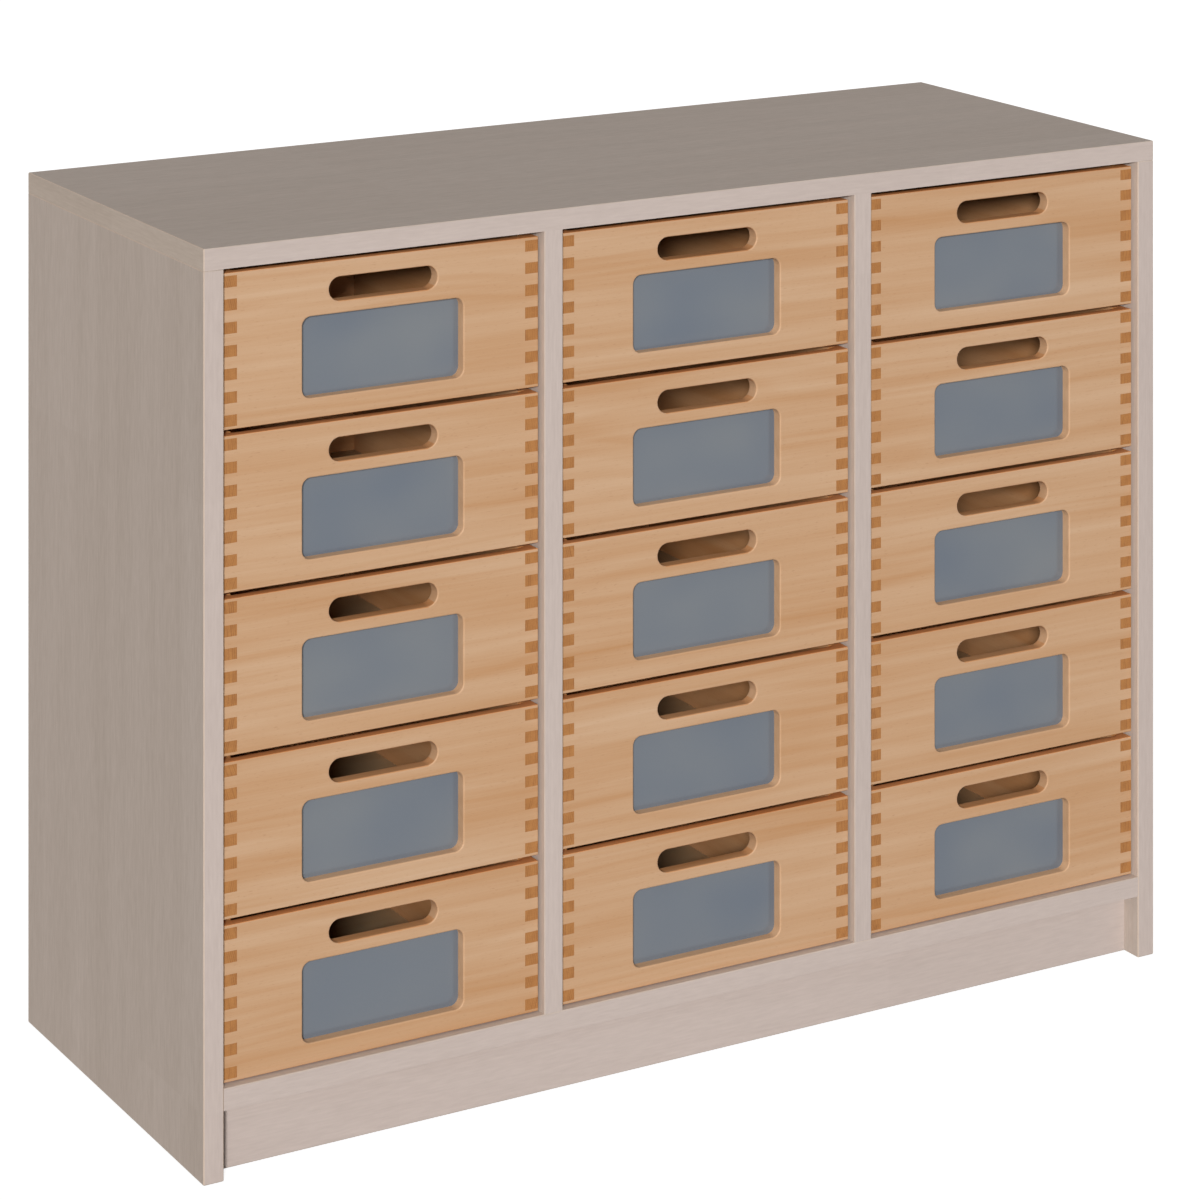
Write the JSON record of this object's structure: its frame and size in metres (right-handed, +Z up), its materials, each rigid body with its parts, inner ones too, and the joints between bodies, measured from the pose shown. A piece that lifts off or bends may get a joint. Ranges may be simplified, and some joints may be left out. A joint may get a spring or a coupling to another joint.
{
  "type": "classroom tray storage unit",
  "caption": "Low wooden classroom storage unit on a plinth, with columns of finger-jointed pull-out drawers, each with a handle slot and a small window in its front.",
  "frame": {"origin": "middle of the footprint, on the floor", "axes": "+X runs to the right along the front, the drawer fronts face -Y and +Z is up"},
  "size_m": [1.016, 0.4, 0.798],
  "materials": {
    "carcass_board": "satin lacquered wood-grain board",
    "back_board": "thin board with a satin wood-grain face",
    "drawer_beech": "solid beech, planed and clear lacquered",
    "drawer_sides": "solid beech sides and back with a birch plywood bottom, clear lacquered",
    "runner_hardwood": "planed hardwood strip, waxed",
    "window_pane": "satin blue-grey plastic sheet"
  },
  "bodies": {
    "carcass": {"top_panel": "carcass_board", "side_panel_left": "carcass_board", "side_panel_right": "carcass_board", "base_panel": "carcass_board", "back_panel": "back_board", "plinth_rail_front": "carcass_board", "plinth_rail_rear": "carcass_board", "divider_1": "carcass_board", "divider_2": "carcass_board", "runners_column_a": "runner_hardwood", "runners_column_b": "runner_hardwood", "runners_column_c": "runner_hardwood"},
    "drawer_a5": {"drawer_a5_front": "drawer_beech", "drawer_a5_box": "drawer_sides", "drawer_a5_pane": "window_pane"},
    "drawer_a4": {"drawer_a4_front": "drawer_beech", "drawer_a4_box": "drawer_sides", "drawer_a4_pane": "window_pane"},
    "drawer_a3": {"drawer_a3_front": "drawer_beech", "drawer_a3_box": "drawer_sides", "drawer_a3_pane": "window_pane"},
    "drawer_a2": {"drawer_a2_front": "drawer_beech", "drawer_a2_box": "drawer_sides", "drawer_a2_pane": "window_pane"},
    "drawer_a1": {"drawer_a1_front": "drawer_beech", "drawer_a1_box": "drawer_sides", "drawer_a1_pane": "window_pane"},
    "drawer_b5": {"drawer_b5_front": "drawer_beech", "drawer_b5_box": "drawer_sides", "drawer_b5_pane": "window_pane"},
    "drawer_b4": {"drawer_b4_front": "drawer_beech", "drawer_b4_box": "drawer_sides", "drawer_b4_pane": "window_pane"},
    "drawer_b3": {"drawer_b3_front": "drawer_beech", "drawer_b3_box": "drawer_sides", "drawer_b3_pane": "window_pane"},
    "drawer_b2": {"drawer_b2_front": "drawer_beech", "drawer_b2_box": "drawer_sides", "drawer_b2_pane": "window_pane"},
    "drawer_b1": {"drawer_b1_front": "drawer_beech", "drawer_b1_box": "drawer_sides", "drawer_b1_pane": "window_pane"},
    "drawer_c5": {"drawer_c5_front": "drawer_beech", "drawer_c5_box": "drawer_sides", "drawer_c5_pane": "window_pane"},
    "drawer_c4": {"drawer_c4_front": "drawer_beech", "drawer_c4_box": "drawer_sides", "drawer_c4_pane": "window_pane"},
    "drawer_c3": {"drawer_c3_front": "drawer_beech", "drawer_c3_box": "drawer_sides", "drawer_c3_pane": "window_pane"},
    "drawer_c2": {"drawer_c2_front": "drawer_beech", "drawer_c2_box": "drawer_sides", "drawer_c2_pane": "window_pane"},
    "drawer_c1": {"drawer_c1_front": "drawer_beech", "drawer_c1_box": "drawer_sides", "drawer_c1_pane": "window_pane"}
  },
  "joints": [
    {"name": "drawer_a5_slide", "type": "slide", "parent": "carcass", "child": "drawer_a5", "axis": [0, -1, 0], "range_m": [0, 0.26]},
    {"name": "drawer_a4_slide", "type": "slide", "parent": "carcass", "child": "drawer_a4", "axis": [0, -1, 0], "range_m": [0, 0.26]},
    {"name": "drawer_a3_slide", "type": "slide", "parent": "carcass", "child": "drawer_a3", "axis": [0, -1, 0], "range_m": [0, 0.26]},
    {"name": "drawer_a2_slide", "type": "slide", "parent": "carcass", "child": "drawer_a2", "axis": [0, -1, 0], "range_m": [0, 0.26]},
    {"name": "drawer_a1_slide", "type": "slide", "parent": "carcass", "child": "drawer_a1", "axis": [0, -1, 0], "range_m": [0, 0.26]},
    {"name": "drawer_b5_slide", "type": "slide", "parent": "carcass", "child": "drawer_b5", "axis": [0, -1, 0], "range_m": [0, 0.26]},
    {"name": "drawer_b4_slide", "type": "slide", "parent": "carcass", "child": "drawer_b4", "axis": [0, -1, 0], "range_m": [0, 0.26]},
    {"name": "drawer_b3_slide", "type": "slide", "parent": "carcass", "child": "drawer_b3", "axis": [0, -1, 0], "range_m": [0, 0.26]},
    {"name": "drawer_b2_slide", "type": "slide", "parent": "carcass", "child": "drawer_b2", "axis": [0, -1, 0], "range_m": [0, 0.26]},
    {"name": "drawer_b1_slide", "type": "slide", "parent": "carcass", "child": "drawer_b1", "axis": [0, -1, 0], "range_m": [0, 0.26]},
    {"name": "drawer_c5_slide", "type": "slide", "parent": "carcass", "child": "drawer_c5", "axis": [0, -1, 0], "range_m": [0, 0.26]},
    {"name": "drawer_c4_slide", "type": "slide", "parent": "carcass", "child": "drawer_c4", "axis": [0, -1, 0], "range_m": [0, 0.26]},
    {"name": "drawer_c3_slide", "type": "slide", "parent": "carcass", "child": "drawer_c3", "axis": [0, -1, 0], "range_m": [0, 0.26]},
    {"name": "drawer_c2_slide", "type": "slide", "parent": "carcass", "child": "drawer_c2", "axis": [0, -1, 0], "range_m": [0, 0.26]},
    {"name": "drawer_c1_slide", "type": "slide", "parent": "carcass", "child": "drawer_c1", "axis": [0, -1, 0], "range_m": [0, 0.26]}
  ]
}
